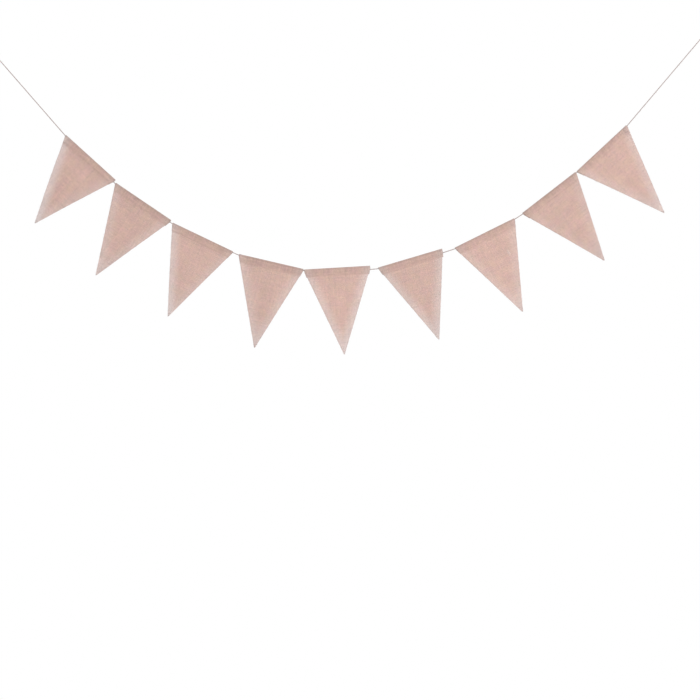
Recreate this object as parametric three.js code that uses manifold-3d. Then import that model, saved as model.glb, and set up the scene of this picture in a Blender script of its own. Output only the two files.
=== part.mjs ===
// A string of nine hessian pennants on one thin twine, hung from a tied loop at each end.
// Millimetres. X runs to the right along the string, Z is up, and -Y faces the viewer.
// The origin is the point where the left loop bears on its hook.
import * as THREE from 'three';
import { mergeVertices } from 'three/addons/utils/BufferGeometryUtils.js';
import Module from 'manifold-3d';

const wasm = await Module();
wasm.setup();

// The cloth and the twine.
const CLOTH = 1.0; // thickness of the hessian
const TWINE = 2.0; // diameter of the twine
const FIT = 0.4; // play between the twine and the cloth around it
const LAYER_GAP = 0.6; // space between the two layers below the stitching
const STITCH_DEPTH = 15; // from the fold down to the stitching
const TURN_DEPTH = 17.5; // from the fold down to the raw edge of the turned-back strip
const BLUNT = 2.0; // how much of each top corner the open end of the casing cuts off
const TIP_WIDTH = 2.0; // width left at the point

// The middle of the cloth goes round the twine at this radius, so the twine lies this far below the fold.
const FOLD_RADIUS = TWINE / 2 + FIT + CLOTH / 2;
const TWINE_DEPTH = FOLD_RADIUS + CLOTH / 2;
const CLOSED_HALF = (LAYER_GAP + CLOTH) / 2;
const ENTRY_INSET = 1.0; // the twine turns into a casing this far inside its corner

// Where the twine bends, as [x, z]: its left knot, in and out of each casing, and its right knot.
const ROUTE = [
  [27.9, -31.9],
  [179.0, -205.5], [278.5, -301.0],
  [281.8, -304.1], [394.5, -383.5],
  [399.3, -386.4], [524.0, -446.0],
  [536.0, -451.2], [669.2, -482.9],
  [670.4, -483.3], [806.3, -481.0],
  [823.5, -479.2], [958.0, -446.0],
  [982.0, -438.0], [1105.0, -377.0],
  [1121.2, -366.6], [1232.0, -281.5],
  [1233.4, -280.5], [1336.0, -185.0],
  [1505.2, 14.7],
];
const BEND_TRIM = 2.0; // each bend is rounded over this much of the straights beside it

// The hanging loops, measured from the hook towards the pennants.
const RIGHT_HOOK = new THREE.Vector3(1532.6, 0, 47.0);
const KNOT_START = 34; // from the hook to the knot
const KNOT_END = 42; // and to the knot's far face, where the twine goes on
const KNOT_TURNS = 3;
const EYE = [[35.2, 1.35], [31, 2.2], [24, 5.2], [14, 7.4], [5.5, 6.4], [0.6, 3.4]];
const TAIL = [[41, 2.4], [46, 3.5], [52, 5.6], [57, 8.8]];

// Each pennant, from left to right.
// lift: how far the right end of its fold stands above the twine.
// wide, deep, tip: its top edge, its depth, and how far along the top edge its point lies.
// bow: how far its middle stands forward. swing: how far its point stands back.
// twist: how far its right edge stands back and its left edge forward, halfway down.
// spareL, spareR: how far the turned-back strip stands out past the front at its lower corners.
const PENNANTS = [
  { lift: 3.9, wide: 140, deep: 177.5, tip: 74.6, bow: 2.6, swing: 3.5, twist: 1.4, spareL: 0.6, spareR: 0.4 },
  { lift: 2.6, wide: 140, deep: 180, tip: 74.0, bow: 1.6, swing: -2.5, twist: -1.8, spareL: 0.3, spareR: 1.0 },
  { lift: 0.0, wide: 140, deep: 178, tip: 75.0, bow: 3.2, swing: 2.0, twist: 1.0, spareL: 0.8, spareR: 0.5 },
  { lift: 0.7, wide: 139, deep: 180, tip: 75.6, bow: 2.0, swing: 4.5, twist: -1.2, spareL: 0.5, spareR: 0.8 },
  { lift: 5.5, wide: 139, deep: 178.5, tip: 74.3, bow: 3.6, swing: -3.0, twist: 1.8, spareL: 1.8, spareR: 2.2 },
  { lift: 6.4, wide: 140, deep: 177, tip: 79.5, bow: 2.2, swing: 3.0, twist: -2.2, spareL: 1.6, spareR: 2.4 },
  { lift: 0.0, wide: 139, deep: 179.5, tip: 67.3, bow: 3.0, swing: -4.0, twist: 1.2, spareL: 0.5, spareR: 0.6 },
  { lift: 0.5, wide: 141, deep: 180.5, tip: 75.7, bow: 1.8, swing: 2.5, twist: -1.5, spareL: 0.9, spareR: 0.3 },
  { lift: 0.0, wide: 142, deep: 184.5, tip: 74.8, bow: 2.8, swing: -2.0, twist: 2.0, spareL: 0.4, spareR: 0.7 },
];
const COLUMNS = 8; // across a pennant
const TURN_ROWS = 4; // down the turned-back strip
const FOLD_ROWS = 6; // round the fold
const FRONT_DEPTHS = [6, 10.5, STITCH_DEPTH, 24, 38, 56, 76, 98, 122, 148]; // then the point

const hessian = (shade) => new THREE.MeshStandardMaterial({ color: shade, roughness: 0.92, metalness: 0 });
const HESSIAN_SHADES = [0xcdada3, 0xd0b1a6];
const twine = new THREE.MeshStandardMaterial({ color: 0xbeb2a8, roughness: 0.9, metalness: 0 });

const inPlane = ([x, z]) => new THREE.Vector3(x, 0, z);
const route = ROUTE.map(inPlane);

// A geometry from rows of points that run over a thin sheet: both faces, then the rim.
function sheetGeometry(middle) {
  const rows = middle.length;
  const columns = middle[0].length;
  const position = [];
  for (const side of [0.5, -0.5]) {
    for (let r = 0; r < rows; r++) {
      for (let c = 0; c < columns; c++) {
        const down = middle[Math.min(r + 1, rows - 1)][c].clone().sub(middle[Math.max(r - 1, 0)][c]);
        const across = middle[r][Math.min(c + 1, columns - 1)].clone().sub(middle[r][Math.max(c - 1, 0)]);
        const out = down.cross(across).setLength(CLOTH * side);
        position.push(...middle[r][c].clone().add(out).toArray());
      }
    }
  }
  const at = (face, r, c) => face * rows * columns + r * columns + c;
  const index = [];
  const quad = (a, b, c, d) => index.push(a, b, c, a, c, d);
  for (let r = 0; r < rows - 1; r++) {
    for (let c = 0; c < columns - 1; c++) {
      quad(at(0, r, c), at(0, r + 1, c), at(0, r + 1, c + 1), at(0, r, c + 1));
      quad(at(1, r, c), at(1, r, c + 1), at(1, r + 1, c + 1), at(1, r + 1, c));
    }
    quad(at(0, r, 0), at(1, r, 0), at(1, r + 1, 0), at(0, r + 1, 0));
    quad(at(0, r, columns - 1), at(0, r + 1, columns - 1), at(1, r + 1, columns - 1), at(1, r, columns - 1));
  }
  for (let c = 0; c < columns - 1; c++) {
    quad(at(0, 0, c), at(0, 0, c + 1), at(1, 0, c + 1), at(1, 0, c));
    quad(at(0, rows - 1, c), at(1, rows - 1, c), at(1, rows - 1, c + 1), at(0, rows - 1, c + 1));
  }
  const geometry = new THREE.BufferGeometry();
  geometry.setAttribute('position', new THREE.Float32BufferAttribute(position, 3));
  geometry.setIndex(index);
  return geometry;
}

// How far the front stands back from its flat plane, depth mm down and w mm along the top edge.
function relief(p, depth, w) {
  const down = THREE.MathUtils.clamp((depth - STITCH_DEPTH) / (p.deep - STITCH_DEPTH), 0, 1);
  const middle = THREE.MathUtils.lerp(p.wide / 2, p.tip, depth / p.deep);
  const across = (w - middle) / (p.wide / 2);
  const belly = Math.sin(Math.PI * down ** 0.8) ** 2;
  return p.swing * down ** 2 - p.bow * belly * (1 - across ** 2) + p.twist * Math.sin(Math.PI * down) * across;
}

// Half the distance between the middles of the two layers: open round the twine, closed at the stitching.
function halfGap(p, depth, w) {
  const along = THREE.MathUtils.clamp((w - ENTRY_INSET) / (p.wide - 2 * ENTRY_INSET), 0, 1);
  const open = TWINE_DEPTH + p.lift * along + TWINE / 2 + FIT;
  const closed = THREE.MathUtils.smoothstep(depth, open, STITCH_DEPTH);
  return THREE.MathUtils.lerp(FOLD_RADIUS, CLOSED_HALF, closed);
}

// One row across the pennant between its two cut sides, in its own frame: along the fold, back, and down.
function clothRow(p, depth, back, spare) {
  const reach = Math.max(depth, 0) / p.deep;
  const spareShare = spare * Math.max(depth, 0) / TURN_DEPTH;
  const cutLeft = THREE.MathUtils.lerp(0, p.tip - TIP_WIDTH / 2, reach) - p.spareL * spareShare;
  const cutRight = THREE.MathUtils.lerp(p.wide, p.tip + TIP_WIDTH / 2, reach) + p.spareR * spareShare;
  const left = Math.max(cutLeft, BLUNT);
  const right = Math.min(cutRight, p.wide - BLUNT);
  return Array.from({ length: COLUMNS + 1 }, (_, c) => {
    const w = THREE.MathUtils.lerp(left, right, c / COLUMNS);
    return new THREE.Vector3(w, back(w), -depth);
  });
}

// The middle of a pennant's cloth, from the raw edge behind, over the fold and down to the point.
function clothRows(p) {
  const rows = [];
  for (let r = 0; r < TURN_ROWS; r++) {
    const depth = THREE.MathUtils.lerp(TURN_DEPTH, TWINE_DEPTH, r / TURN_ROWS);
    rows.push(clothRow(p, depth, (w) => halfGap(p, depth, w), 1));
  }
  for (let r = 0; r <= FOLD_ROWS; r++) {
    const turn = Math.PI * r / FOLD_ROWS;
    const depth = TWINE_DEPTH - FOLD_RADIUS * Math.sin(turn);
    rows.push(clothRow(p, depth, () => FOLD_RADIUS * Math.cos(turn), 0));
  }
  for (const depth of [...FRONT_DEPTHS, p.deep]) {
    rows.push(clothRow(p, depth, (w) => relief(p, depth, w) - halfGap(p, depth, w), 0));
  }
  return rows;
}

// A pennant hangs with the left end of its fold on the twine and the right end lifted off it.
function pennant(p, number) {
  const entry = route[2 * number - 1];
  const exit = route[2 * number];
  const run = exit.clone().sub(entry);
  const slope = Math.atan2(run.z, run.x) + Math.asin(p.lift / run.length());
  const mesh = new THREE.Mesh(sheetGeometry(clothRows(p)), hessian(HESSIAN_SHADES[number % 2]));
  mesh.name = `pennant_${number}`;
  mesh.rotation.y = -slope;
  const corner = new THREE.Vector3(-ENTRY_INSET, 0, TWINE_DEPTH).applyEuler(mesh.rotation);
  mesh.position.copy(entry).add(corner);
  return mesh;
}

// A curve through given stations, one for each step of the tube, straight between them.
class Stations extends THREE.Curve {
  constructor(points) {
    super();
    this.points = points;
  }
  getPoint(t, target = new THREE.Vector3()) {
    const at = t * (this.points.length - 1);
    const k = Math.min(Math.floor(at), this.points.length - 2);
    return target.lerpVectors(this.points[k], this.points[k + 1], at - k);
  }
  getPointAt(u, target) {
    return this.getPoint(u, target);
  }
  getTangentAt(u, target = new THREE.Vector3()) {
    const k = Math.round(u * (this.points.length - 1));
    const before = this.points[Math.max(k - 1, 0)];
    const here = this.points[k];
    const after = this.points[Math.min(k + 1, this.points.length - 1)];
    target.subVectors(here, before).normalize();
    return target.add(after.clone().sub(here).normalize()).normalize();
  }
}

// The stations of a taut line: its ends, and the start, middle and end of each rounded bend.
function tautStations(points) {
  const stations = [points[0]];
  for (let k = 1; k < points.length - 1; k++) {
    const [before, here, after] = points.slice(k - 1, k + 2);
    const trim = Math.min(BEND_TRIM, here.distanceTo(before) * 0.4, here.distanceTo(after) * 0.4);
    const start = here.clone().lerp(before, trim / here.distanceTo(before));
    const end = here.clone().lerp(after, trim / here.distanceTo(after));
    const chord = start.clone().lerp(end, 0.5);
    stations.push(start, chord.lerp(here, 0.5), end);
  }
  stations.push(points[points.length - 1]);
  return stations;
}

// The section of the twine has eight sides.
function twineSection() {
  const corners = Array.from({ length: 8 }, (_, k) => {
    const turn = (k + 0.5) * Math.PI / 4;
    return new THREE.Vector2(Math.cos(turn), Math.sin(turn)).multiplyScalar(TWINE / 2);
  });
  return new THREE.Shape(corners);
}

function tube(path, steps) {
  return new THREE.ExtrudeGeometry(twineSection(), { extrudePath: path, steps, bevelEnabled: false });
}

function cord() {
  const stations = tautStations(route);
  const mesh = new THREE.Mesh(tube(new Stations(stations), stations.length - 1), twine);
  mesh.name = 'cord';
  return mesh;
}

// A solid from a closed geometry, with shared vertices merged and flat slivers dropped.
function toSolid(geometry) {
  geometry.deleteAttribute('normal');
  geometry.deleteAttribute('uv');
  const merged = mergeVertices(geometry, 1e-4);
  const corners = merged.index.array;
  const triVerts = [];
  for (let k = 0; k < corners.length; k += 3) {
    const [a, b, c] = corners.slice(k, k + 3);
    if (a !== b && b !== c && c !== a) triVerts.push(a, b, c);
  }
  return new wasm.Manifold(new wasm.Mesh({
    numProp: 3,
    vertProperties: new Float32Array(merged.attributes.position.array),
    triVerts: new Uint32Array(triVerts),
  }));
}

function toGeometry(solid) {
  const { vertProperties, triVerts } = solid.getMesh();
  const geometry = new THREE.BufferGeometry();
  geometry.setAttribute('position', new THREE.BufferAttribute(vertProperties, 3));
  geometry.setIndex(new THREE.BufferAttribute(triVerts, 1));
  return geometry;
}

// The knot is a few turns of the twine wound round its own two strands, ridged where they lie.
function knotGeometry() {
  const pitch = (KNOT_END - KNOT_START) / KNOT_TURNS;
  const core = 2.6;
  const profile = [new THREE.Vector2(0, KNOT_START)];
  for (let turn = 0; turn < KNOT_TURNS; turn++) {
    const middle = KNOT_START + pitch * (turn + 0.5);
    for (const angle of [-1.1, -0.4, 0.4, 1.1]) {
      profile.push(new THREE.Vector2(core + TWINE / 2 * Math.cos(angle), middle + pitch / 2 * Math.sin(angle)));
    }
  }
  profile.push(new THREE.Vector2(0, KNOT_END));
  return new THREE.LatheGeometry(profile, 12);
}

// A loop lies in the plane of the string, with Y along the pull and X across it.
function loopSolid() {
  const across = ([along, side]) => new THREE.Vector3(side, along, 0);
  const mirrored = ([along, side]) => new THREE.Vector3(-side, along, 0);
  const crown = new THREE.Vector3(0, -TWINE / 2, 0);
  const eyePoints = [...EYE.map(across), crown, ...EYE.map(mirrored).reverse()];
  const eye = toSolid(tube(new THREE.CatmullRomCurve3(eyePoints), 26));
  const tail = toSolid(tube(new THREE.CatmullRomCurve3(TAIL.map(across)), 6));
  return toSolid(knotGeometry()).add(eye).add(tail);
}

// The crown of a loop bears on its hook, and the pull runs from there to the first or last bend.
function loop(name, hook, bend) {
  const mesh = new THREE.Mesh(toGeometry(loopSolid()), twine);
  mesh.name = name;
  const pull = bend.clone().sub(hook).normalize();
  const back = new THREE.Vector3(0, 1, 0);
  const sideways = pull.clone().cross(back).normalize();
  mesh.quaternion.setFromRotationMatrix(new THREE.Matrix4().makeBasis(sideways, pull, back));
  mesh.position.copy(hook);
  return mesh;
}

const bunting = new THREE.Group();
PENNANTS.forEach((p, k) => bunting.add(pennant(p, k + 1)));
bunting.add(cord());
bunting.add(loop('loop_left', new THREE.Vector3(), route[1]));
bunting.add(loop('loop_right', RIGHT_HOOK, route[route.length - 2]));

export default bunting;
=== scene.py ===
"""A string of nine hessian pennants on one thin twine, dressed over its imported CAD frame.

Metres. X runs to the right along the string, Z is up, and -Y faces the viewer.
"""

import math
import random
from collections import namedtuple

import bpy
from mathutils import Matrix, Vector, noise


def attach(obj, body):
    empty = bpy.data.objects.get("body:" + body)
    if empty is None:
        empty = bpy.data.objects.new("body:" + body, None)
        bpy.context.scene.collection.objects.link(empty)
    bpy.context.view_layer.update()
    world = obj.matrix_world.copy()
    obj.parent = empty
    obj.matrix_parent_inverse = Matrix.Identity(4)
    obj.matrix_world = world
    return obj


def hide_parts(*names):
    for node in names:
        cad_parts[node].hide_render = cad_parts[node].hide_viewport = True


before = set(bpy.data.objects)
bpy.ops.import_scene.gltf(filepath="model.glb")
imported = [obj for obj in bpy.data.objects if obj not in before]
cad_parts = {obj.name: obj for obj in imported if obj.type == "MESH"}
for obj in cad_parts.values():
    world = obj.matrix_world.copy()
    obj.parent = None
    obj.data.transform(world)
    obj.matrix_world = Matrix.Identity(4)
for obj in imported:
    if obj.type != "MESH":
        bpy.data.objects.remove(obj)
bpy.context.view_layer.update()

# The cloth and the twine, as in the part's source. Only the cut ends of the casings and the space
# between the two layers are smaller than there.
CLOTH = 0.0010  # thickness of the hessian
TWINE = 0.0020  # diameter of the twine
FIT = 0.0004  # play between the twine and the cloth around it
STITCH_DEPTH = 0.0150  # from the fold down to the stitching
TURN_DEPTH = 0.0175  # from the fold down to the raw edge of the turned-back strip
BLUNT = 0.0015  # how much of each top corner the open end of the casing cuts off
TIP_WIDTH = 0.0020  # width left at the point
FOLD_RADIUS = TWINE / 2 + FIT + CLOTH / 2  # of the middle of the cloth, round the twine
TWINE_DEPTH = FOLD_RADIUS + CLOTH / 2  # from the fold down to the middle of the twine
ENTRY_INSET = 0.0010  # the twine turns into a casing this far inside its corner
BEND_TRIM = 0.0020  # each bend is rounded over this much of the straights beside it
CLOSED_HALF = 0.00062  # half the distance between the middles of the two layers at the stitching

# Where the twine bends, as (x, z): its left knot, in and out of each casing, and its right knot.
ROUTE = [
    (0.0279, -0.0319),
    (0.1790, -0.2055), (0.2785, -0.3010),
    (0.2818, -0.3041), (0.3945, -0.3835),
    (0.3993, -0.3864), (0.5240, -0.4460),
    (0.5360, -0.4512), (0.6692, -0.4829),
    (0.6704, -0.4833), (0.8063, -0.4810),
    (0.8235, -0.4792), (0.9580, -0.4460),
    (0.9820, -0.4380), (1.1050, -0.3770),
    (1.1212, -0.3666), (1.2320, -0.2815),
    (1.2334, -0.2805), (1.3360, -0.1850),
    (1.5052, 0.0147),
]
LEFT_HOOK = Vector((0, 0, 0))
RIGHT_HOOK = Vector((1.5326, 0, 0.0470))
BACK = Vector((0, 1, 0))

# The camera looks straight ahead at the string, from about the height of its lowest point.
LOOK_AT = Vector((0.7653, 0, -0.64675))
CAMERA_DISTANCE = 3.405
LENS = 85
SENSOR_WIDTH = 36
CLIP_END = 100

# The floor's far rim lies just too low for this camera to see.
FLOOR_HEIGHT = -2.6
FLOOR_RADIUS = 5.4
FLOOR_SIDES = 120

# Each pennant, from left to right.
# lift: how far the right end of its fold stands above the twine.
# wide, deep, tip: its top edge, its depth, and how far along the top edge its point lies.
# bow: how far its middle stands forward. swing: how far its point stands back.
# twist: how far its right edge stands back and its left edge forward, halfway down.
# spare: how far the turned-back strip stands out past the front at its lower corners, left and right.
# shade: its brightness beside the others, partly painted light, lower towards the left, and partly its own
# tone.
# the last field: how loose the cloth is along its cut sides, left and right, and how much paler it is
# painted there, as painted light.
Pennant = namedtuple("Pennant", "lift wide deep tip bow swing twist spare shade worn")
PENNANTS = [
    Pennant(0.0039, 0.140, 0.1775, 0.0746, 0.0026, 0.0035, 0.0014, (0.0006, 0.0004), 0.955, (1.7, 0.6)),
    Pennant(0.0026, 0.140, 0.1800, 0.0740, 0.0016, -0.0025, -0.0018, (0.0003, 0.0010), 0.95, (0.85, 0.75)),
    Pennant(0.0000, 0.140, 0.1780, 0.0750, 0.0032, 0.0020, 0.0010, (0.0008, 0.0005), 0.98, (1.4, 0.6)),
    Pennant(0.0007, 0.139, 0.1800, 0.0756, 0.0020, 0.0045, -0.0012, (0.0005, 0.0008), 0.98, (0.8, 0.85)),
    Pennant(0.0055, 0.139, 0.1785, 0.0743, 0.0036, -0.0030, 0.0018, (0.0018, 0.0022), 1.005, (1.1, 1.25)),
    Pennant(0.0064, 0.140, 0.1770, 0.0795, 0.0022, 0.0030, -0.0022, (0.0016, 0.0024), 0.98, (1.1, 1.2)),
    Pennant(0.0000, 0.139, 0.1795, 0.0673, 0.0030, -0.0040, 0.0012, (0.0005, 0.0006), 1.025, (0.6, 0.7)),
    Pennant(0.0005, 0.141, 0.1805, 0.0757, 0.0018, 0.0025, -0.0015, (0.0009, 0.0003), 0.98, (0.35, 0.55)),
    Pennant(0.0000, 0.142, 0.1845, 0.0748, 0.0028, -0.0020, 0.0020, (0.0004, 0.0007), 1.005, (0.7, 1.0)),
]

# Soft creases in the cloth below the stitching, for each pennant, as
# (top, foot, start, end, width, high): where across the pennant each begins and ends,
# where down it, in shares, then its half width and its height.
CREASES = [
    [(0.30, 0.35, 0.10, 0.85, 0.012, 0.0012), (0.72, 0.60, 0.20, 0.70, 0.016, -0.0008)],
    [(0.22, 0.40, 0.15, 0.80, 0.014, 0.0009), (0.60, 0.55, 0.35, 0.95, 0.010, 0.0007)],
    [(0.50, 0.45, 0.12, 0.60, 0.015, -0.0009), (0.80, 0.62, 0.25, 0.85, 0.011, 0.0009)],
    [(0.35, 0.42, 0.18, 0.75, 0.013, 0.0008), (0.68, 0.70, 0.15, 0.55, 0.012, -0.0007)],
    [(0.42, 0.50, 0.40, 0.98, 0.010, 0.0011), (0.74, 0.66, 0.15, 0.70, 0.014, 0.0008)],
    [(0.28, 0.30, 0.12, 0.65, 0.014, -0.0008), (0.62, 0.58, 0.30, 0.92, 0.011, 0.0009)],
    [(0.55, 0.50, 0.20, 0.75, 0.016, 0.0008), (0.20, 0.32, 0.25, 0.80, 0.011, 0.0007)],
    [(0.40, 0.46, 0.15, 0.90, 0.012, -0.0008), (0.78, 0.68, 0.12, 0.60, 0.012, 0.0009)],
    [(0.66, 0.60, 0.18, 0.88, 0.013, 0.0012), (0.30, 0.38, 0.15, 0.60, 0.014, -0.0007)],
]

# One small pale spot in the cloth: its pennant, its place, its half width and half height, and how
# far the colour has gone there.
PaleSpot = namedtuple("PaleSpot", "pennant across down half_width half_height strength")
PALE_SPOT = PaleSpot(7, 0.0960, 0.0580, 0.0028, 0.0060, 0.45)

# Kinds of loose fibre: their shortest and longest length, and their radius where they are held.
Fibre = namedtuple("Fibre", "shortest longest radius")
TWINE_FUZZ = Fibre(0.0012, 0.0036, 0.00006)
KNOT_FUZZ = Fibre(0.0008, 0.0022, 0.00006)
FREE_END = Fibre(0.0012, 0.0030, 0.00010)
SHORT_FRAY = Fibre(0.0005, 0.0013, 0.00011)
LONG_FRAY = Fibre(0.0013, 0.0026, 0.00011)
STRIP_FRAY = Fibre(0.0005, 0.0018, 0.00011)
POINT_FRAY = Fibre(0.0006, 0.0016, 0.00014)
SURFACE_FIBRE = Fibre(0.0010, 0.0032, 0.00005)

TAN_YARN = (0.645, 0.458, 0.379, 1)
PINK_YARN = (0.640, 0.434, 0.391, 1)
# The pale colour serves the pale spot and the painted light along the cut sides and towards the point.
PALE_YARN = (0.73, 0.64, 0.62, 1)
TWINE_LIGHT = (0.47, 0.385, 0.370, 1)
# The dark twine colour is also the painted shade where the strands meet.
TWINE_DARK = (0.25, 0.190, 0.175, 1)
SEWING_LIGHT = (0.66, 0.47, 0.41, 1)
SEWING_DARK = (0.46, 0.30, 0.26, 1)
FIBRE_LIGHT = (0.68, 0.55, 0.51, 1)
FIBRE_DARK = (0.48, 0.37, 0.34, 1)
FLOOR_WHITE = (0.92, 0.92, 0.92, 1)


def clamp(x, low=0.0, high=1.0):
    return max(low, min(high, x))


def lerp(a, b, t):
    return a + (b - a) * t


def smoothstep(x, low, high):
    t = clamp((x - low) / (high - low))
    return t * t * (3 - 2 * t)


def in_plane(point):
    return Vector((point[0], 0, point[1]))


route = [in_plane(point) for point in ROUTE]


# The camera.

def make_camera():
    data = bpy.data.cameras.new("camera")
    data.lens = LENS
    data.sensor_width = SENSOR_WIDTH
    data.clip_end = CLIP_END
    camera = bpy.data.objects.new("camera", data)
    camera.location = LOOK_AT + Vector((0, -CAMERA_DISTANCE, 0))
    camera.rotation_euler = (math.pi / 2, 0, 0)
    bpy.context.collection.objects.link(camera)
    bpy.context.scene.camera = camera


# Materials. Their scales are per metre, or per turn where they run round a thread.

class Shader:
    """A material's nodes, with short calls for the ones used here."""

    def __init__(self, name):
        self.material = bpy.data.materials.new(name)
        self.material.use_nodes = True
        self.tree = self.material.node_tree
        self.tree.nodes.clear()

    def node(self, kind, inputs=None, **settings):
        made = self.tree.nodes.new("ShaderNode" + kind)
        for name, value in settings.items():
            setattr(made, name, value)
        for key, value in (inputs or {}).items():
            if isinstance(value, bpy.types.NodeSocket):
                self.tree.links.new(value, made.inputs[key])
            else:
                made.inputs[key].default_value = value
        return made

    def math(self, operation, *values):
        return self.node("Math", dict(enumerate(values)), operation=operation).outputs[0]

    def times(self, first, second):
        return self.math("MULTIPLY", first, second)

    def scaled(self, value, factor, offset):
        """The value times a factor, plus an offset."""
        return self.math("MULTIPLY_ADD", value, factor, offset)

    def ramp(self, value, low, high, at_low=0.0, at_high=1.0):
        inputs = {0: value, 1: low, 2: high, 3: at_low, 4: at_high}
        return self.node("MapRange", inputs, interpolation_type="SMOOTHSTEP").outputs[0]

    def join(self, x, y, z=0.0):
        return self.node("CombineXYZ", {0: x, 1: y, 2: z}).outputs[0]

    def noise(self, place, scale, detail=2.0, output="Fac"):
        inputs = {"Vector": place, "Scale": scale, "Detail": detail}
        return self.node("TexNoise", inputs).outputs[output]

    def random(self, number):
        return self.node("TexWhiteNoise", {"W": number}, noise_dimensions="1D").outputs["Value"]

    def tint(self, color, factor):
        """The colour made lighter or darker by a factor."""
        inputs = {0: color, "Scale": factor}
        return self.node("VectorMath", inputs, operation="SCALE").outputs[0]

    def mix(self, factor, first, second):
        inputs = {0: factor, 6: first, 7: second}
        return self.node("Mix", inputs, data_type="RGBA").outputs[2]

    def attribute(self, name):
        return self.node("Attribute", attribute_name=name).outputs["Fac"]

    def cloth_place(self):
        return self.node("UVMap", uv_map="cloth").outputs[0]

    def bump(self, height, strength, distance):
        inputs = {"Height": height, "Strength": strength, "Distance": distance}
        return self.node("Bump", inputs).outputs[0]

    def finish(self, surface):
        self.node("OutputMaterial", {"Surface": surface})
        return self.material


THREAD_PITCH = 0.0019
THREAD_WOBBLE = 0.0008  # how far the yarns stray
WOBBLE_SCALE = 55
WEFT_SEED = 500.0
PENNANT_SEED = 1000.0  # keeps each pennant's yarns apart from the others'

# Half the thickness of a thin yarn, as a share of the pitch, and what a full yarn and a slub add to it.
YARN_HALF = 0.27
FULL_YARN = 0.08
SLUB = 0.20
SLUB_SCALE = 60.0
WORN_THINNING = 0.14
FIBRE_ALONG = 260.0
FIBRE_ACROSS = 3800.0
CRIMP = 0.45  # how far a yarn rises at one crossing and dips at the next, as a share of its height

# One set of yarns that run the same way: number and place across the yarn, how high its round top
# stands there, then its shade, its slubs and its fibres.
Yarns = namedtuple("Yarns", "number place round_top shade slub fibre")


def yarn_set(shader, here, along, seed, piece, worn):
    """The yarns that run along one direction of the cloth, counted in the other."""
    count = shader.math("DIVIDE", here, THREAD_PITCH)
    number = shader.math("ADD", shader.math("FLOOR", count), shader.scaled(piece, PENNANT_SEED, seed))
    place = shader.math("SUBTRACT", shader.math("FRACT", count), 0.5)
    slub = shader.noise(shader.join(shader.times(along, SLUB_SCALE), number), 1.0)
    shade = shader.random(number)
    half = shader.scaled(shade, FULL_YARN, YARN_HALF)
    half = shader.scaled(slub, SLUB, half)
    half = shader.times(half, shader.scaled(worn, -WORN_THINNING, 1.0))
    ratio = shader.math("DIVIDE", place, half)
    inside = shader.math("SUBTRACT", 1.0, shader.times(ratio, ratio))
    round_top = shader.math("SQRT", shader.math("MAXIMUM", inside, 0.0))
    strands = shader.join(shader.times(along, FIBRE_ALONG), shader.times(here, FIBRE_ACROSS), piece)
    fibre = shader.noise(strands, 1.0, detail=3.0)
    return Yarns(number, place, round_top, shade, slub, fibre)


def over_and_under(shader, warp, weft):
    """How high warp and weft stand. A yarn rises where it passes over another and dips next to that."""
    numbers = shader.math("ADD", warp.number, weft.number)
    parity = shader.scaled(shader.math("PINGPONG", numbers, 1.0), -2.0, 1.0)
    heights = []
    for yarns, others, sign in ((warp, weft, 1.0), (weft, warp, -1.0)):
        wave = shader.times(shader.math("COSINE", shader.times(others.place, math.pi)), parity)
        lifted = shader.scaled(wave, CRIMP * sign, 1.0 - CRIMP)
        heights.append(shader.times(yarns.round_top, lifted))
    return heights


# The brightness of the cloth: its base, and what a light yarn, a slub, a fibre and a patch add.
BASE_BRIGHT = 0.31
YARN_BRIGHT = 0.32
SHADE_IN_YARN = 0.5
SLUB_IN_YARN = 1.5
FIBRE_BRIGHT = 0.36
PATCH_BRIGHT = 0.15
PATCH_SCALES = (30, 260)
SMALL_PATCHES = 2.0  # weight of the small patches beside the large ones
# Painted shade: the cloth is painted darker in the dips between the yarns, down to this share of its
# brightness.
SHADED_DIP_BRIGHT = 0.80  # in the dips between the yarns
HIGH_YARN = 0.7  # the height from which a yarn has its full brightness
# Painted light: how much paler the cloth is painted along its cut sides.
SIDE_PAINTED_LIGHT = 0.36
PINK_SCALE = 60
PINK_SEED = 40.0
THINNEST_YARN = 0.02  # under this height there is a gap
LIGHT_THROUGH = 0.26  # share of the light that comes through the yarns


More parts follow.
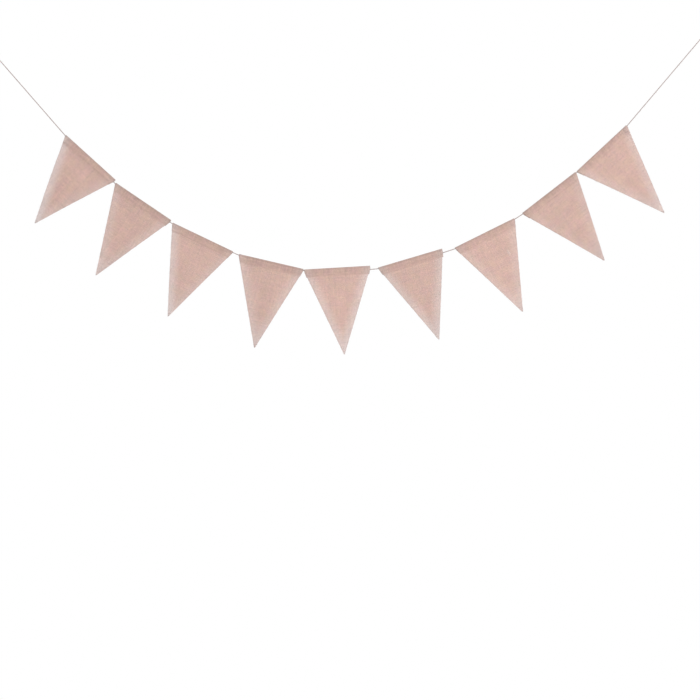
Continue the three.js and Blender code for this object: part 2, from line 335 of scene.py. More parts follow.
def hessian_material():
    """Plain weave of uneven yarns, with small gaps between them that let the light through, and with
    painted shade in the dips between the yarns.
    """
    shader = Shader("hessian_weave")
    uv = shader.cloth_place()
    worn = shader.attribute("worn")
    piece = shader.attribute("piece")
    drift = shader.node("SeparateXYZ", {0: shader.noise(uv, WOBBLE_SCALE, output="Color")})
    flat = shader.node("SeparateXYZ", {0: uv})
    across = shader.scaled(drift.outputs[0], THREAD_WOBBLE, flat.outputs[0])
    down = shader.scaled(drift.outputs[1], THREAD_WOBBLE, flat.outputs[1])

    warp = yarn_set(shader, across, down, 0.0, piece, worn)
    weft = yarn_set(shader, down, across, WEFT_SEED, piece, worn)
    warp_height, weft_height = over_and_under(shader, warp, weft)
    height = shader.math("MAXIMUM", warp_height, weft_height)
    weft_on_top = shader.math("GREATER_THAN", weft_height, warp_height)
    both = shader.math("ADD", warp.round_top, weft.round_top)
    covered = shader.math("GREATER_THAN", both, THINNEST_YARN)

    def of_upper(of_warp, of_weft):
        difference = shader.math("SUBTRACT", of_weft, of_warp)
        return shader.scaled(difference, weft_on_top, of_warp)

    # The brightness comes from the upper yarn, its fibres, and soft patches over the whole pennant.
    shades = [
        shader.scaled(yarns.shade, SHADE_IN_YARN, shader.times(yarns.slub, SLUB_IN_YARN))
        for yarns in (warp, weft)
    ]
    fibre = of_upper(warp.fibre, weft.fibre)
    place = shader.join(across, down, piece)
    large, small = (shader.noise(place, scale, detail)
                    for scale, detail in zip(PATCH_SCALES, (2.0, 1.0)))
    patch = shader.math("ADD", large, shader.times(small, SMALL_PATCHES))
    factor = shader.scaled(of_upper(*shades), YARN_BRIGHT, BASE_BRIGHT)
    factor = shader.scaled(fibre, FIBRE_BRIGHT, factor)
    factor = shader.scaled(patch, PATCH_BRIGHT, factor)
    # Painted shade, darkest in the dips between the yarns.
    factor = shader.times(factor, shader.ramp(height, 0.0, HIGH_YARN, SHADED_DIP_BRIGHT, 1.0))
    # Each pennant's brightness, partly painted light, with the painted shade on its fold.
    factor = shader.times(factor, shader.attribute("shade"))

    # Painted light: paler along the cut sides and towards the point. The pale spot is the cloth's own
    # colour.
    paleness = shader.scaled(worn, SIDE_PAINTED_LIGHT, shader.attribute("bleached"))
    pink_place = shader.join(across, down, shader.math("ADD", piece, PINK_SEED))
    pinkness = shader.ramp(shader.noise(pink_place, PINK_SCALE), 0.3, 0.7)
    dyed = shader.mix(pinkness, TAN_YARN, PINK_YARN)
    color = shader.tint(shader.mix(paleness, dyed, PALE_YARN), factor)

    relief = shader.scaled(fibre, 0.35, height)
    bump = shader.bump(relief, strength=0.75, distance=0.0005)
    cloth = shader.node("BsdfPrincipled", {
        "Base Color": color, "Roughness": shader.scaled(fibre, 0.10, 0.86), "Normal": bump,
        "Specular IOR Level": 0.25, "Sheen Weight": 0.25, "Sheen Roughness": 0.6,
    }).outputs[0]
    through = shader.node("BsdfTranslucent", {"Color": color, "Normal": bump}).outputs[0]
    thread = shader.node("MixShader", {0: LIGHT_THROUGH, 1: cloth, 2: through}).outputs[0]
    gap = shader.node("BsdfTransparent").outputs[0]
    return shader.finish(shader.node("MixShader", {0: covered, 1: gap, 2: thread}).outputs[0])


STREAKS = (900.0, 160.0, 1.0)
STREAK_SCALE = 4.0


def fibre_material(name, light, dark, sheen):
    """Fine loose fibres or sewing thread: streaks along their length in two shades."""
    shader = Shader(name)
    inputs = {0: shader.cloth_place(), 1: STREAKS}
    place = shader.node("VectorMath", inputs, operation="MULTIPLY").outputs[0]
    streak = shader.noise(place, STREAK_SCALE)
    color = shader.mix(streak, dark, light)
    bump = shader.bump(streak, strength=0.4, distance=0.0001)
    skin = shader.node("BsdfPrincipled", {
        "Base Color": color, "Roughness": shader.scaled(streak, 0.15, 0.72), "Normal": bump,
        "Specular IOR Level": 0.3, "Sheen Weight": sheen,
    })
    return shader.finish(skin.outputs[0])


STRANDS = 3
TWINE_FIBRES_AROUND = 26.0
TWINE_FIBRES_ALONG = 260.0
TWINE_PATCH_SCALE = 70
TWINE_PATCHES = 0.25


def twine_material():
    """Strands of long fibres, with painted shade where the strands meet."""
    shader = Shader("twine_strands")
    uv = shader.node("SeparateXYZ", {0: shader.cloth_place()})
    around, along = uv.outputs[0], uv.outputs[1]
    lobe = shader.math("ABSOLUTE", shader.math("COSINE", shader.times(around, STRANDS * math.pi)))
    grain = shader.join(
        shader.times(around, TWINE_FIBRES_AROUND), shader.times(along, TWINE_FIBRES_ALONG))
    fibres = shader.noise(grain, 1.0, detail=3.0)
    patches = shader.noise(shader.join(0.0, along), TWINE_PATCH_SCALE)
    # Painted shade in the grooves where the strands meet.
    groove = shader.ramp(lobe, 0.0, 0.65, 0.15, 0.85)
    brightness = shader.times(groove, shader.scaled(fibres, 0.9, 0.45))
    brightness = shader.scaled(patches, TWINE_PATCHES, brightness)
    lightness = shader.node("Clamp", {0: brightness}).outputs[0]
    color = shader.mix(lightness, TWINE_DARK, TWINE_LIGHT)
    relief = shader.scaled(fibres, 0.8, lobe)
    bump = shader.bump(relief, strength=0.6, distance=0.0003)
    skin = shader.node("BsdfPrincipled", {
        "Base Color": color, "Roughness": shader.scaled(fibres, 0.15, 0.78), "Normal": bump,
        "Specular IOR Level": 0.25, "Sheen Weight": 0.3,
    })
    return shader.finish(skin.outputs[0])


# Meshes.

class Builder:
    """Gathers points, faces, places on the cloth and further values, and makes one object of them."""

    def __init__(self):
        self.points, self.flat, self.faces, self.sharp = [], [], [], []
        self.values = {}

    def add(self, point, flat, **values):
        self.points.append(point)
        self.flat.append(flat)
        for name, value in values.items():
            self.values.setdefault(name, []).append(value)
        return len(self.points) - 1

    def face(self, *corners, sharp=False):
        self.faces.append(corners)
        self.sharp.append(sharp)

    def make(self, name, material, placed=None):
        mesh = bpy.data.meshes.new(name)
        points = self.points if placed is None else [placed @ point for point in self.points]
        mesh.from_pydata(points, [], self.faces)
        layer = mesh.uv_layers.new(name="cloth")
        for loop in mesh.loops:
            layer.data[loop.index].uv = self.flat[loop.vertex_index]
        for key, values in self.values.items():
            mesh.attributes.new(key, "FLOAT", "POINT").data.foreach_set("value", values)
        mesh.polygons.foreach_set("use_smooth", [not sharp for sharp in self.sharp])
        mesh.materials.append(material)
        made = bpy.data.objects.new(name, mesh)
        bpy.context.collection.objects.link(made)
        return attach(made, "root")


def frames_along(points):
    """For each point of a line, its direction and two directions square to it that don't twist."""
    tangents = []
    for k in range(len(points)):
        before, after = points[max(k - 1, 0)], points[min(k + 1, len(points) - 1)]
        tangents.append((after - before).normalized())
    side = tangents[0].orthogonal().normalized()
    frames = []
    for tangent in tangents:
        side = (side - tangent * side.dot(tangent)).normalized()
        frames.append((tangent, side, tangent.cross(side)))
    return frames


def sweep(builder, points, radius, sides, twist=0.0, lobes=0, groove=0.0):
    """A closed tube along a line. radius is a number, or a function of the share of the way along.
    A tube with lobes turns once in the length twist, as strands do."""
    run = 0.0
    rings = []
    for k, (point, (_, side, up)) in enumerate(zip(points, frames_along(points))):
        if k:
            run += (point - points[k - 1]).length
        share = k / (len(points) - 1)
        size = radius(share) if callable(radius) else radius
        turn = 2 * math.pi * run / twist if twist else 0.0
        ring = []
        for c in range(sides):
            angle = 2 * math.pi * c / sides
            reach = size * (1 - groove * (1 - abs(math.cos(lobes * angle / 2)))) if lobes else size
            out = side * math.cos(angle + turn) + up * math.sin(angle + turn)
            ring.append(builder.add(point + out * reach, (c / sides, run)))
        rings.append(ring)
    for lower, upper in zip(rings, rings[1:]):
        for c in range(sides):
            d = (c + 1) % sides
            builder.face(lower[c], lower[d], upper[d], upper[c])
    builder.face(*reversed(rings[0]), sharp=True)
    builder.face(*rings[-1], sharp=True)


def curve_through(controls, step):
    """Points about a step apart on a smooth curve through the given ones."""
    ends = [controls[0] * 2 - controls[1], *controls, controls[-1] * 2 - controls[-2]]
    found = [controls[0]]
    for a, b, c, d in zip(ends, ends[1:], ends[2:], ends[3:]):
        count = max(1, round((c - b).length / step))
        for k in range(1, count + 1):
            t = k / count
            found.append(0.5 * (2 * b + (c - a) * t + (2 * a - 5 * b + 4 * c - d) * t ** 2
                                + (3 * b - a - 3 * c + d) * t ** 3))
    return found


FIBRE_STATIONS = (-0.15, 0.35, 0.7, 1.0)  # in shares of its length; its root lies a little inside
FIBRE_CURL = 0.5
FIBRE_TAPER = 0.75
FIBRE_SIDES = 3


def loose_fibre(builder, start, out, kind, chance):
    """One fine fibre that tapers and curls away from where it is held."""
    length = chance.uniform(kind.shortest, kind.longest)
    curl = Vector([chance.uniform(-1, 1) for _ in range(3)]) * FIBRE_CURL
    line = [start + (out * t + curl * t * t) * length for t in FIBRE_STATIONS]
    sweep(builder, line, lambda share: kind.radius * (1 - FIBRE_TAPER * share), FIBRE_SIDES)


# The twine.

STRAND_TWIST = 0.0072
STRAND_GROOVE = 0.20
TWINE_SIDES = 18
TWINE_STEP = 0.0009
BEND_SHARES = (0, 0.25, 0.5, 0.75, 1)
LONGEST_TRIM = 0.4  # of a straight beside a bend

FUZZ_SEED = 7
FUZZ_SPACING = 0.0022
FUZZ_LEAN = 1.6
FUZZ_ROOT = 0.44  # how far out in the twine a fibre starts, as a share of its diameter


def taut_line(corners):
    """The line of a taut twine, with each bend rounded over a short stretch."""
    line = [corners[0]]
    for before, here, after in zip(corners, corners[1:], corners[2:]):
        trim = min(BEND_TRIM, (here - before).length * LONGEST_TRIM, (after - here).length * LONGEST_TRIM)
        start = here + (before - here).normalized() * trim
        end = here + (after - here).normalized() * trim
        line += [start.lerp(here, t).lerp(here.lerp(end, t), t) for t in BEND_SHARES]
    line.append(corners[-1])
    fine = [line[0]]
    for a, b in zip(line, line[1:]):
        count = max(1, round((b - a).length / TWINE_STEP))
        fine += [a.lerp(b, k / count) for k in range(1, count + 1)]
    return fine


def twist_twine(builder, line):
    sweep(builder, line, TWINE / 2, TWINE_SIDES, STRAND_TWIST, STRANDS, STRAND_GROOVE)


def make_cord(material):
    line = taut_line(route)
    builder = Builder()
    twist_twine(builder, line)
    cord = builder.make("twine_run", material)
    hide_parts("cord")
    return cord, line


def make_fuzz(material):
    """Fine fibres that stand off the open stretches of the twine."""
    chance = random.Random(FUZZ_SEED)
    builder = Builder()
    open_spans = [(route[0], route[1]), (route[-2], route[-1])]
    open_spans += [(route[k], route[k + 1]) for k in range(2, len(route) - 2, 2)]
    for a, b in open_spans:
        direction = (b - a).normalized()
        for _ in range(round((b - a).length / FUZZ_SPACING)):
            at = a.lerp(b, chance.random())
            angle = chance.uniform(0, 2 * math.pi)
            off = BACK * math.cos(angle) + direction.cross(BACK) * math.sin(angle)
            out = (off + direction * chance.uniform(-FUZZ_LEAN, FUZZ_LEAN)).normalized()
            loose_fibre(builder, at + off * TWINE * FUZZ_ROOT, out, TWINE_FUZZ, chance)
    return builder.make("twine_fuzz", material)


# The loops, as (along the pull from the hook, sideways): where the run ends inside the knot, half
# an eye, and the free end, which is a little shorter than the solid's.
RUN_END = [(0.0424, -0.0002), (0.0385, -0.0005), (0.0350, -0.0010)]
EYE = [(0.0310, 0.0022), (0.0240, 0.0052), (0.0140, 0.0074), (0.0055, 0.0064), (0.0006, 0.0034)]
TAIL = [(0.0430, 0.0030), (0.0464, 0.0036), (0.0496, 0.0043), (0.0523, 0.0053)]
KNOT_START = 0.0344
KNOT_END = 0.0412
KNOT_TURNS = 3
TURN_STEPS = 8
KNOT_WIDE = 0.0025
KNOT_THICK = 0.0022
KNOT_FUZZ_COUNT = 70
KNOT_FUZZ_LEAN = 1.5

# At the free end each strand goes on alone, as (along, away from the others).
LOOSE_STRAND = [(-0.0010, 0.0005), (0.0012, 0.0006), (0.0026, 0.0014)]
LOOSE_STRAND_STEP = 0.0006
LOOSE_STRAND_SIDES = 8
STRAND_RADIUS = 0.00048
STRAND_TAPER = 0.35
STRAND_FIBRES = 9


def loop_line():
    """From the end of the run, round the hook, round itself in three turns, and off to the free end."""
    def at(along, side, back=0.0):
        return Vector((side, along, back))

    line = [at(along, side) for along, side in RUN_END]
    line += [at(along, -side) for along, side in EYE]
    line.append(at(-TWINE / 2, 0))
    line += [at(along, side) for along, side in reversed(EYE)]
    steps = KNOT_TURNS * TURN_STEPS
    for k in range(1, steps + 1):
        turn = 2 * math.pi * k / TURN_STEPS
        along = lerp(KNOT_START, KNOT_END, k / steps)
        line.append(at(along, KNOT_WIDE * math.cos(turn), KNOT_THICK * math.sin(turn)))
    line += [at(along, side) for along, side in TAIL]
    return curve_through(line, TWINE_STEP)


def fray_free_end(builder, end, out, chance):
    """The strands of the twine part at its free end, and each ends in a few fibres."""
    square = out.orthogonal().normalized()
    for k in range(STRANDS):
        off = Matrix.Rotation(2 * math.pi * k / STRANDS, 3, out) @ square
        strand = [end + out * along + off * away for along, away in LOOSE_STRAND]
        sweep(builder, curve_through(strand, LOOSE_STRAND_STEP),
              lambda share: STRAND_RADIUS * (1 - STRAND_TAPER * share), LOOSE_STRAND_SIDES)
        for _ in range(STRAND_FIBRES):
            aim = (out + off * chance.uniform(0.2, 0.9)).normalized()
            loose_fibre(builder, strand[-1], aim, FREE_END, chance)


def add_knot_fuzz(builder, line, chance):
    """Fine fibres that stand off the eye, the knot and the free end."""
    for _ in range(KNOT_FUZZ_COUNT):
        k = chance.randrange(1, len(line) - 1)
        along = (line[k + 1] - line[k]).normalized()
        off = Matrix.Rotation(chance.uniform(0, 2 * math.pi), 3, along) @ along.orthogonal().normalized()
        aim = (off + along * chance.uniform(-KNOT_FUZZ_LEAN, KNOT_FUZZ_LEAN)).normalized()
        loose_fibre(builder, line[k] + off * TWINE * FUZZ_ROOT, aim, KNOT_FUZZ, chance)


def make_loop(name, node, hook, bend, material):
    """A tied loop, whose pull runs from its hook to the first or last bend of the twine."""
    pull = (bend - hook).normalized()
    sideways = pull.cross(BACK).normalized()
    placed = Matrix.Translation(hook) @ Matrix((sideways, pull, BACK)).transposed().to_4x4()
    chance = random.Random(name)
    builder = Builder()
    line = loop_line()
    twist_twine(builder, line)
    fray_free_end(builder, line[-1], (line[-1] - line[-3]).normalized(), chance)
    add_knot_fuzz(builder, line, chance)
    loop = builder.make(name, material, placed)
    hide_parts(node)
    return loop


# The pennants.

COLUMNS = 56
STRIP_ROWS = 14
FOLD_ROWS = 12
FRONT_ROWS = 14  # fine ones, from the fold to a little below the stitching
FRONT_STEP = 0.0012
ROW_STEP = 0.0025  # from there to the point

SIDE_SLANT = 0.92  # a distance square to a cut side, as a share of the same distance straight across
# Along its cut sides the cloth is looser, and painted paler as painted light.
WORN_WIDTH = 0.026  # how far in from a cut side the cloth is worn
LOW_PART = 0.55  # the cloth changes colour from this share of its depth to the point
# Painted light: how much paler the cloth is painted towards the point.
POINT_PAINTED_LIGHT = 0.32
POINT_DARKNESS = 0.05
# Painted shade along the crown of the fold: how much darker it is, and how far over the fold it reaches.
FOLD_PAINTED_SHADE = 0.20
FOLD_SHADE_WIDTH = 0.0045
UV_STEP = 0.31  # each pennant is cut from the weave this far from the one before

# Unevenness of the cloth. Scales are per metre, sizes are how far it strays, and seeds keep the
# pennants and the layers of noise apart.
CREASE_WIDE = (0.14, 0.03)  # about how wide the cloth is at its top and in its low part
BELLY_RISE = 0.8  # under 1 the belly lies above the middle
RIPPLE = 0.0007
RIPPLE_SCALES = (38, 30)
RIPPLE_SEED = 3.7
CURL = 0.0012
CURL_WIDTH = 0.006
CURL_SCALES = (70, 2)  # down the side, and over the whole width
CURL_SEED = 9
PUCKER = 0.00045
PUCKER_WIDTH = 0.004
PUCKER_SCALE = 130
PUCKER_SEED = 5.1
ROUGH_EDGE = 0.00035
ROUGH_EDGE_SCALE = 420
ROUGH_EDGE_SEEDS = (1.0, 5.0)
FLARE = 0.0003  # how far each layer stands off again below the stitching
FLARE_END = TURN_DEPTH + 0.003


def crease_height(creases, share_across, share_down):
    """How far the soft creases push the cloth back at a place on the pennant."""
    height = 0.0
    for top, foot, start, end, width, high in creases:
        t = (share_down - start) / (end - start)
        if 0 < t < 1:
            off = (share_across - lerp(top, foot, t)) * lerp(*CREASE_WIDE, share_down) / width
            height += high * math.sin(math.pi * t) ** 1.5 * math.exp(-off * off)
    return height


class Cloth:
    """The shape of one pennant in its own frame: X along the fold, Y back, and Z up from the fold.
    depth is how far down from the fold a place lies, and w how far along it."""

    def __init__(self, number, pennant):
        self.number = number
        self.pennant = pennant
        self.creases = CREASES[number - 1]

    def cut(self, depth):
        """Where the two cut sides are at a depth."""
        pennant = self.pennant
        reach = clamp(depth / pennant.deep)
        left = lerp(0, pennant.tip - TIP_WIDTH / 2, reach)
        return left, lerp(pennant.wide, pennant.tip + TIP_WIDTH / 2, reach)

    def edge(self, depth, w):
        """How far a place is from the nearest cut side."""
        left, right = self.cut(depth)
        return max(0.0, min(w - left, right - w) * SIDE_SLANT)

    def worn(self, depth, w):
        """How loose the cloth is, and how much paler it is painted as painted light: most at its cut
        sides.
        """
        left, right = self.cut(depth)
        sides = zip((w - left, right - w), self.pennant.worn)
        return max(share * smoothstep(-off, -WORN_WIDTH, 0) for off, share in sides)

    def lowness(self, depth):
        """From 0 above the low part of the pennant to 1 at its point."""
        return smoothstep(depth, self.pennant.deep * LOW_PART, self.pennant.deep)

    def bleached(self, depth, w):
        """How much paler the cloth is: painted light towards the point, and its own faded colour in the
        pale spot.
        """
        amount = POINT_PAINTED_LIGHT * self.lowness(depth) ** 1.5
        spot = PALE_SPOT
        if self.number == spot.pennant:
            across = (w - spot.across) / spot.half_width
            down = (depth - spot.down) / spot.half_height
            amount += spot.strength * math.exp(-across ** 2 - down ** 2)
        return amount

    def shade(self, depth, run):
        """How bright the cloth is: the pennant's brightness, partly painted light, less by painted shade
        on the fold, where the run over it is 0, and less at the point.
        """
        fold_shade = math.exp(-(run / FOLD_SHADE_WIDTH) ** 2)
        darkness = 1 - FOLD_PAINTED_SHADE * fold_shade - POINT_DARKNESS * self.lowness(depth) ** 2
        return self.pennant.shade * darkness

    def relief(self, depth, w):
        """How far the front stands back from its flat plane."""
        pennant = self.pennant
        down = clamp((depth - STITCH_DEPTH) / (pennant.deep - STITCH_DEPTH))
        middle = lerp(pennant.wide / 2, pennant.tip, depth / pennant.deep)
        across = (w - middle) / (pennant.wide / 2)
        form = pennant.swing * down ** 2
        form -= pennant.bow * math.sin(math.pi * down ** BELLY_RISE) ** 2 * (1 - across ** 2)
        form += pennant.twist * math.sin(math.pi * down) * across
        left, right = self.cut(depth)
        share = (w - left) / (right - left)
        form += crease_height(self.creases, share, clamp(depth / pennant.deep))
        seed = self.number * RIPPLE_SEED
        ripple_place = Vector((w * RIPPLE_SCALES[0], depth * RIPPLE_SCALES[1], seed))
        curl_place = Vector((depth * CURL_SCALES[0], share * CURL_SCALES[1], seed + CURL_SEED))
        ripple = noise.noise(ripple_place) * RIPPLE
        curl = math.exp(-self.edge(depth, w) / CURL_WIDTH) * noise.noise(curl_place) * CURL
        return form + (ripple + curl) * down ** 0.5

    def pucker(self, depth, w):
        """The stitching gathers both layers a little."""
        near = math.exp(-((depth - STITCH_DEPTH) / PUCKER_WIDTH) ** 2)
        place = Vector((w * PUCKER_SCALE, 0.0, self.number * PUCKER_SEED))
        return near * noise.noise(place) * PUCKER

    def half_gap(self, depth, w):
        """Half the distance between the middles of the two layers."""
        pennant = self.pennant
        along = clamp((w - ENTRY_INSET) / (pennant.wide - 2 * ENTRY_INSET))
        open_to = TWINE_DEPTH + pennant.lift * along + TWINE / 2 + FIT
        closed = smoothstep(depth, open_to, STITCH_DEPTH)
        flare = smoothstep(depth, STITCH_DEPTH, FLARE_END) * FLARE
        return lerp(FOLD_RADIUS, CLOSED_HALF, closed) + flare

    def strip(self, depth, w):
        """How far back the middle of the turned-back strip lies."""
        return self.half_gap(depth, w) + self.pucker(depth, w)

    def front(self, depth, w):
        """How far back the middle of the front lies."""
        return self.relief(depth, w) - self.half_gap(depth, w) + self.pucker(depth, w)

    def row(self, depth, back, spare):
        """One row across the pennant, for which back gives how far back each place lies. spare is 1
        on the strip behind, which stands out a little past the front, and 0 elsewhere."""
        pennant = self.pennant
        left, right = self.cut(max(depth, 0.0))
        share = spare * max(depth, 0.0) / TURN_DEPTH
        rough_left, rough_right = (
            noise.noise(Vector((depth * ROUGH_EDGE_SCALE, self.number, seed + spare))) * ROUGH_EDGE
            for seed in ROUGH_EDGE_SEEDS)
        left = max(left - pennant.spare[0] * share + rough_left, BLUNT)
        right = min(right + pennant.spare[1] * share + rough_right, pennant.wide - BLUNT)
        cells = [lerp(left, right, c / COLUMNS) for c in range(COLUMNS + 1)]
        return [(Vector((w, back(w), -depth)), depth) for w in cells]

    def rows(self):
        """The middle of the cloth, from the raw edge behind, over the fold and down to the point."""
        made = []
        for k in range(STRIP_ROWS):
            depth = lerp(TURN_DEPTH, TWINE_DEPTH, k / STRIP_ROWS)
            made.append(self.row(depth, lambda w: self.strip(depth, w), 1))
        for k in range(FOLD_ROWS + 1):
            turn = math.pi * k / FOLD_ROWS
            depth = TWINE_DEPTH - FOLD_RADIUS * math.sin(turn)
            made.append(self.row(depth, lambda w: FOLD_RADIUS * math.cos(turn), 0))
        deep = self.pennant.deep
        depths = [TWINE_DEPTH + FRONT_STEP * k for k in range(1, FRONT_ROWS + 1)]
        below = round((deep - depths[-1]) / ROW_STEP)
        depths += [lerp(depths[-1], deep, k / below) for k in range(1, below + 1)]
        for depth in depths:
            made.append(self.row(depth, lambda w: self.front(depth, w), 0))
        return made

    def face_at(self, w, depth, side):
        """A point on the outer face of the front layer, or with side 1 of the turned-back strip."""
        y = self.half_gap(depth, w) + CLOTH / 2
        if side < 0:
            y = self.relief(depth, w) - y
        return Vector((w, y + self.pucker(depth, w), -depth))


def placed_pennant(number, pennant):
    """A pennant hangs with the left end of its fold on the twine and the right end lifted off it."""
    entry, exit_point = route[2 * number - 1], route[2 * number]
    run = exit_point - entry
    slope = math.atan2(run.z, run.x) + math.asin(pennant.lift / run.length)
    turned = Matrix.Rotation(-slope, 4, "Y")
    corner = turned @ Vector((-ENTRY_INSET, 0, TWINE_DEPTH))
    return Matrix.Translation(entry + corner) @ turned


def runs_over_fold(rows):
    """How far each row lies from the crown of the fold, over the cloth."""
    middle = COLUMNS // 2
    run = [0.0]
    for upper, lower in zip(rows, rows[1:]):
        run.append(run[-1] + (lower[middle][0] - upper[middle][0]).length)
    crown = max(range(len(rows)), key=lambda r: rows[r][middle][0].z)
    return [place - run[crown] for place in run]


def cloth_face(builder, cloth, rows, runs, side):
    """The points of one face of the cloth, half its thickness from the middle."""
    grid = []
    for r, row in enumerate(rows):
        line = []
        for c, (point, depth) in enumerate(row):
            down = rows[min(r + 1, len(rows) - 1)][c][0] - rows[max(r - 1, 0)][c][0]
            across = row[min(c + 1, COLUMNS)][0] - row[max(c - 1, 0)][0]
            out = down.cross(across).normalized() * CLOTH * side
            line.append(builder.add(
                point + out, (point.x + cloth.number * UV_STEP, runs[r]),
                worn=cloth.worn(depth, point.x), piece=float(cloth.number),
                shade=cloth.shade(depth, runs[r]), bleached=cloth.bleached(depth, point.x)))
        grid.append(line)
    return grid


def make_cloth(cloth, material, placed):
    """A closed sheet: the front and the fold and strip behind are one piece of cloth."""
    rows = cloth.rows()
    runs = runs_over_fold(rows)
    builder = Builder()
    outer = cloth_face(builder, cloth, rows, runs, 0.5)
    inner = cloth_face(builder, cloth, rows, runs, -0.5)
    for upper, lower, inner_upper, inner_lower in zip(outer, outer[1:], inner, inner[1:]):
        for c in range(COLUMNS):
            builder.face(upper[c], lower[c], lower[c + 1], upper[c + 1])
            builder.face(inner_upper[c], inner_upper[c + 1], inner_lower[c + 1], inner_lower[c])
        builder.face(upper[0], inner_upper[0], inner_lower[0], lower[0], sharp=True)
        builder.face(upper[-1], lower[-1], inner_lower[-1], inner_upper[-1], sharp=True)
    for c in range(COLUMNS):
        builder.face(outer[0][c], outer[0][c + 1], inner[0][c + 1], inner[0][c], sharp=True)
        builder.face(outer[-1][c], inner[-1][c], inner[-1][c + 1], outer[-1][c + 1], sharp=True)
    made = builder.make(f"hessian_{cloth.number}", material, placed)
    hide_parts(f"pennant_{cloth.number}")
    return made


STITCH_PITCH = 0.0034
STITCH_LENGTH = 0.0027
STITCH_MARGIN = 0.001  # left free at each end of the row
FIRST_STITCH = 0.2  # where in its pitch a stitch starts
STITCH_STRAY = 0.0002
ROW_WAVE = 0.0004
ROW_WAVE_TURN = 0.23  # from one stitch to the next
SEWING_THREAD = 0.00026  # radius of the thread
SEWING_THREAD_SIDES = 6

# One stitch, as (share of its length, how proud it stands, in radii of the thread).
STITCH = [(0, -1.4), (0.1, 0.1), (0.35, 0.6), (0.65, 0.6), (0.9, 0.1), (1, -1.4)]


def make_stitching(cloth, material, placed):
    """One row of stitches through both layers, with each stitch sunk into the cloth at its ends."""
    chance = random.Random(cloth.number)
    builder = Builder()
    left, right = cloth.cut(STITCH_DEPTH)
    for k in range(int((right - left - 2 * STITCH_MARGIN) / STITCH_PITCH)):
        start = left + STITCH_MARGIN + (k + FIRST_STITCH) * STITCH_PITCH
        start += chance.uniform(-STITCH_STRAY, STITCH_STRAY)
        depth = STITCH_DEPTH + chance.uniform(-STITCH_STRAY, STITCH_STRAY)
        depth += ROW_WAVE * math.sin(k * ROW_WAVE_TURN + cloth.number)
        for side in (-1, 1):
            line = []
            for share, proud in STITCH:
                point = cloth.face_at(start + share * STITCH_LENGTH, depth, side)
                line.append(point + Vector((0, side * proud * SEWING_THREAD, 0)))
            sweep(builder, line, SEWING_THREAD, SEWING_THREAD_SIDES)
    return builder.make(f"stitching_{cloth.number}", material, placed)


FRAY_SEED = 100
SIDE_SPACING = 0.0012
STANDING_OUT = 0.6  # share of the ends at the sides that stand out; the others hang down
SHORT_ENDS = 0.88  # share of the ends at the sides that are short
STRIP_SPACING = 0.0011
POINT_ENDS = 8
SURFACE_FIBRES = 420
SURFACE_FROM = 0.004  # depth of the highest fibres on the faces
SURFACE_TO = 0.97  # how much of the area down to the point they cover


def fray_side(cloth, builder, right, chance):
    """Thread ends along one cut side."""
    pennant = cloth.pennant
    sideways = 1 if right else -1
    for _ in range(round(math.hypot(pennant.deep, pennant.wide / 2) / SIDE_SPACING)):
        depth = chance.uniform(BLUNT, pennant.deep)
        w = cloth.cut(depth)[right]
        y = cloth.relief(depth, w) - cloth.half_gap(depth, w) + chance.uniform(-0.3, 0.3) * CLOTH
        standing_out = chance.random() < STANDING_OUT
        aim = Vector((sideways, 0, -0.1)) if standing_out else Vector((0.3 * sideways, 0, -1))
        kind = SHORT_FRAY if chance.random() < SHORT_ENDS else LONG_FRAY
        loose_fibre(builder, Vector((w, y, -depth)), aim.normalized(), kind, chance)


def fray_strip(cloth, builder, chance):
    """Thread ends along the raw edge of the turned-back strip."""
    left, right = cloth.cut(TURN_DEPTH)
    for _ in range(round((right - left) / STRIP_SPACING)):
        w = chance.uniform(left, right)
        y = cloth.half_gap(TURN_DEPTH, w) + chance.uniform(-0.2, 0.3) * CLOTH
        aim = Vector((chance.uniform(-0.2, 0.2), 0.15, -1)).normalized()
        loose_fibre(builder, Vector((w, y, -TURN_DEPTH)), aim, STRIP_FRAY, chance)


def fray_point(cloth, builder, chance):
    """Thread ends that hang from the point."""
    pennant = cloth.pennant
    for _ in range(POINT_ENDS):
        w = pennant.tip + chance.uniform(-0.4, 0.4) * TIP_WIDTH
        y = cloth.relief(pennant.deep, w) - CLOSED_HALF
        aim = Vector((chance.uniform(-0.3, 0.3), 0, -1)).normalized()
        loose_fibre(builder, Vector((w, y, -pennant.deep)), aim, POINT_FRAY, chance)


def add_surface_fibres(cloth, builder, chance):
    """Fine fibres that lie loosely on both faces of the cloth, evenly over its area."""
    for _ in range(SURFACE_FIBRES):
        down = 1 - math.sqrt(1 - SURFACE_TO * chance.random())
        depth = lerp(SURFACE_FROM, cloth.pennant.deep, down)
        left, right = cloth.cut(depth)
        w = chance.uniform(left, right)
        side = chance.choice((-1, 1))
        if side > 0 and depth > TURN_DEPTH:
            start = Vector((w, cloth.relief(depth, w) - cloth.half_gap(depth, w) + CLOTH / 2, -depth))
        else:
            start = cloth.face_at(w, depth, side)
        turn = chance.uniform(0, 2 * math.pi)
        aim = Vector((math.cos(turn), side * chance.uniform(0.15, 0.6), math.sin(turn))).normalized()
        loose_fibre(builder, start, aim, SURFACE_FIBRE, chance)


def make_fray(cloth, material, placed):
    """All the loose thread ends and fibres of one pennant."""
    chance = random.Random(FRAY_SEED + cloth.number)
    builder = Builder()
    for right in (0, 1):
        fray_side(cloth, builder, right, chance)
    fray_strip(cloth, builder, chance)
    fray_point(cloth, builder, chance)
    add_surface_fibres(cloth, builder, chance)
    return builder.make(f"fray_{cloth.number}", material, placed)


# Floor and light.

SKY_LIGHT = 0.72
PANEL_SIZE = 2.4

# The light panels: name, place and power.
PANELS = [
    ("panel_right", (3.4, -3.2, 1.6), 120),
    ("panel_left", (-2.2, -3.4, 0.4), 40),
    ("panel_behind", (0.4, 4.0, 1.8), 70),
]


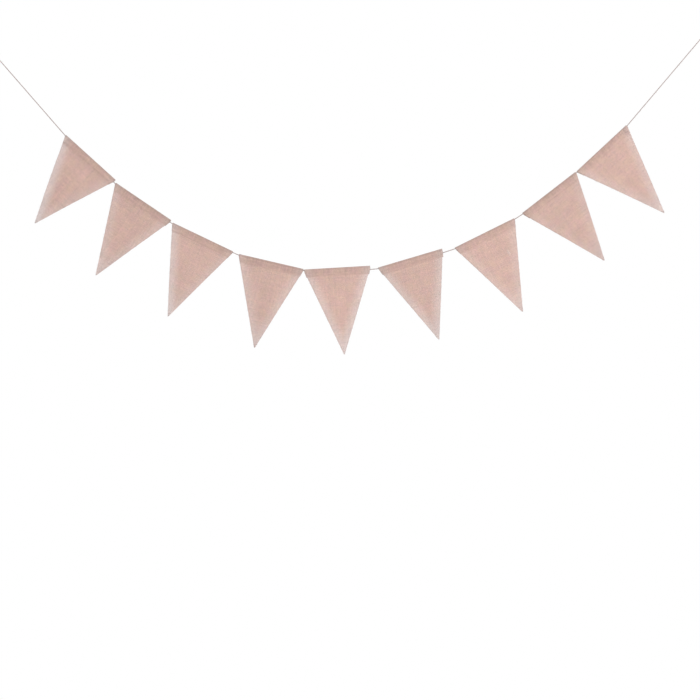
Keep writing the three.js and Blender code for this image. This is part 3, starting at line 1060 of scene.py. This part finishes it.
def make_stage():
    """A round floor under the string."""
    mesh = bpy.data.meshes.new("floor")
    rim = []
    for k in range(FLOOR_SIDES):
        turn = 2 * math.pi * k / FLOOR_SIDES
        x = LOOK_AT.x + FLOOR_RADIUS * math.cos(turn)
        rim.append((x, FLOOR_RADIUS * math.sin(turn), FLOOR_HEIGHT))
    mesh.from_pydata(rim, [], [tuple(range(FLOOR_SIDES))])
    shader = Shader("pale_floor")
    skin = shader.node("BsdfPrincipled", {"Base Color": FLOOR_WHITE, "Roughness": 0.8})
    mesh.materials.append(shader.finish(skin.outputs[0]))
    floor = bpy.data.objects.new("floor", mesh)
    bpy.context.collection.objects.link(floor)


def area_light(name, place, power):
    data = bpy.data.lights.new(name, "AREA")
    data.size = PANEL_SIZE
    data.energy = power
    light = bpy.data.objects.new(name, data)
    light.location = place
    light.rotation_euler = (LOOK_AT - Vector(place)).to_track_quat("-Z", "Y").to_euler()
    bpy.context.collection.objects.link(light)


def make_light():
    """A white surround that lights softly from all sides, two large panels in front and one behind."""
    world = bpy.data.worlds.new("surround")
    world.use_nodes = True
    nodes, links = world.node_tree.nodes, world.node_tree.links
    nodes.clear()
    backgrounds = []
    for strength in (SKY_LIGHT, 1.0):
        background = nodes.new("ShaderNodeBackground")
        background.inputs["Strength"].default_value = strength
        background.inputs["Color"].default_value = (1, 1, 1, 1)
        backgrounds.append(background.outputs[0])
    lighting, seen = backgrounds
    choice = nodes.new("ShaderNodeMixShader")
    links.new(nodes.new("ShaderNodeLightPath").outputs["Is Camera Ray"], choice.inputs[0])
    links.new(lighting, choice.inputs[1])
    links.new(seen, choice.inputs[2])
    links.new(choice.outputs[0], nodes.new("ShaderNodeOutputWorld").inputs["Surface"])
    bpy.context.scene.world = world
    bpy.context.scene.view_settings.view_transform = "Standard"
    for name, place, power in PANELS:
        area_light(name, place, power)


make_camera()
twine_skin = twine_material()
twine_fibres = fibre_material("twine_fibres", TWINE_LIGHT, TWINE_DARK, sheen=0.3)
cord, cord_line = make_cord(twine_skin)
fuzz = make_fuzz(twine_fibres)
loops = [
    make_loop("twine_loop_left", "loop_left", LEFT_HOOK, route[1], twine_skin),
    make_loop("twine_loop_right", "loop_right", RIGHT_HOOK, route[-2], twine_skin),
]

hessian = hessian_material()
sewing_thread = fibre_material("sewing_thread", SEWING_LIGHT, SEWING_DARK, sheen=0.2)
hessian_fibres = fibre_material("hessian_fibres", FIBRE_LIGHT, FIBRE_DARK, sheen=0.3)
for number, pennant in enumerate(PENNANTS, start=1):
    cloth = Cloth(number, pennant)
    placed = placed_pennant(number, pennant)
    sheet = make_cloth(cloth, hessian, placed)
    stitching = make_stitching(cloth, sewing_thread, placed)
    fray = make_fray(cloth, hessian_fibres, placed)

make_stage()
make_light()
